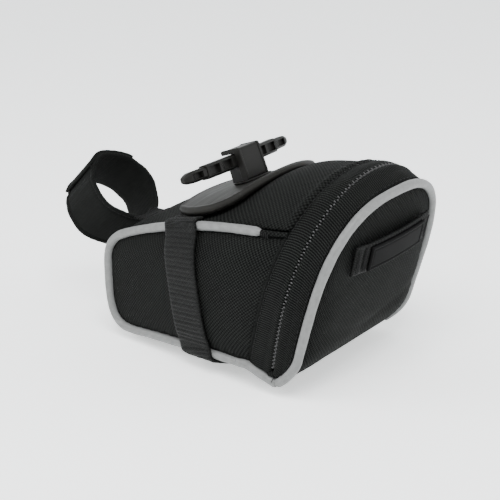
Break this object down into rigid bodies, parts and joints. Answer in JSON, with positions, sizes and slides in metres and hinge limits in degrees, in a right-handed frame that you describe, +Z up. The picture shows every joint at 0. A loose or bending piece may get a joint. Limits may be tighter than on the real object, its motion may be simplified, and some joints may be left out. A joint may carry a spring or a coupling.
{
  "type": "bicycle saddle bag",
  "caption": "Wedge-shaped black fabric saddle bag with a zipped fold-down rear flap, grey piping, a T-bar saddle rail clip, a load strap and a seatpost strap loop.",
  "frame": {"origin": "middle of the load strap's flat underside, where the bag stands on the ground", "axes": "+X to the bag's right, +Y toward the nose and the seatpost, +Z up with the bag standing on its belly"},
  "size_m": [0.101, 0.1824, 0.0927],
  "materials": {
    "side_fabric": "smooth coated nylon, black",
    "top_fabric": "ribbed black nylon",
    "rear_fabric": "black woven nylon",
    "zip_tape": "black zip tape",
    "zip_coil": "black nylon coil",
    "piping": "light grey reflective piping",
    "webbing": "black ribbed webbing",
    "clip_plastic": "grey-brown satin plastic",
    "dark_plastic": "black plastic",
    "metal": "zinc plated",
    "patch_rubber": "moulded black rubber",
    "thread": "grey bar tack thread",
    "stiffener": "thin board, dark grey"
  },
  "bodies": {
    "bag": {"side_panel_left": "side_fabric", "side_panel_right": "side_fabric", "top_panel": "top_fabric", "nose_panel": "top_fabric", "bottom_panel": "top_fabric", "zipper_tape_front": "zip_tape", "zipper_coil_front": "zip_coil", "piping_left": "piping", "piping_right": "piping", "load_strap": "webbing", "mount_base_plate": "clip_plastic", "mount_hood": "clip_plastic", "mount_core": "dark_plastic", "t_bar": "clip_plastic", "clip_end_left": "clip_plastic", "clip_end_right": "clip_plastic", "mount_screw_left": "metal", "mount_screw_right": "metal", "mount_backing_plate": "dark_plastic", "stiffener_left": "stiffener", "stiffener_right": "stiffener", "stiffener_bottom": "stiffener", "strap_anchor_tab": "webbing"},
    "rear_flap": {"rear_panel": "rear_fabric", "zipper_tape_rear": "zip_tape", "zipper_coil_rear": "zip_coil", "piping_rear": "piping", "light_loop": "webbing", "light_loop_patch": "patch_rubber", "bar_tack_left": "thread", "bar_tack_right": "thread", "stiffener_rear": "stiffener"},
    "zipper_slider": {"zipper_slider": "metal"},
    "zipper_pull": {"zipper_pull": "dark_plastic"},
    "seatpost_strap": {"seatpost_strap": "webbing"},
    "strap_tail": {"strap_tail": "webbing"}
  },
  "joints": [
    {"name": "rear_flap_hinge", "type": "hinge", "parent": "bag", "child": "rear_flap", "pos_m": [0, -0.04588, 0.0052], "axis": [1, 0, 0], "range_deg": [0, 62]},
    {"name": "zipper_slider_track", "type": "hinge", "parent": "bag", "child": "zipper_slider", "pos_m": [0, -0.05422, 0.04662], "axis": [0, -0.9642, -0.2652], "range_deg": [0, 176]},
    {"name": "zipper_pull_hinge", "type": "hinge", "parent": "zipper_slider", "child": "zipper_pull", "pos_m": [0.05207, -0.05391, 0.04548], "axis": [0, -0.9642, -0.2652], "range_deg": [0, 150]},
    {"name": "seatpost_strap_hinge", "type": "hinge", "parent": "bag", "child": "seatpost_strap", "pos_m": [0, 0.05846, 0.04781], "axis": [1, 0, 0], "range_deg": [-20, 35]},
    {"name": "strap_tail_hinge", "type": "hinge", "parent": "seatpost_strap", "child": "strap_tail", "pos_m": [0.01455, 0.08788, 0.06029], "axis": [0, 0.7193, -0.6947], "range_deg": [0, 70]}
  ]
}
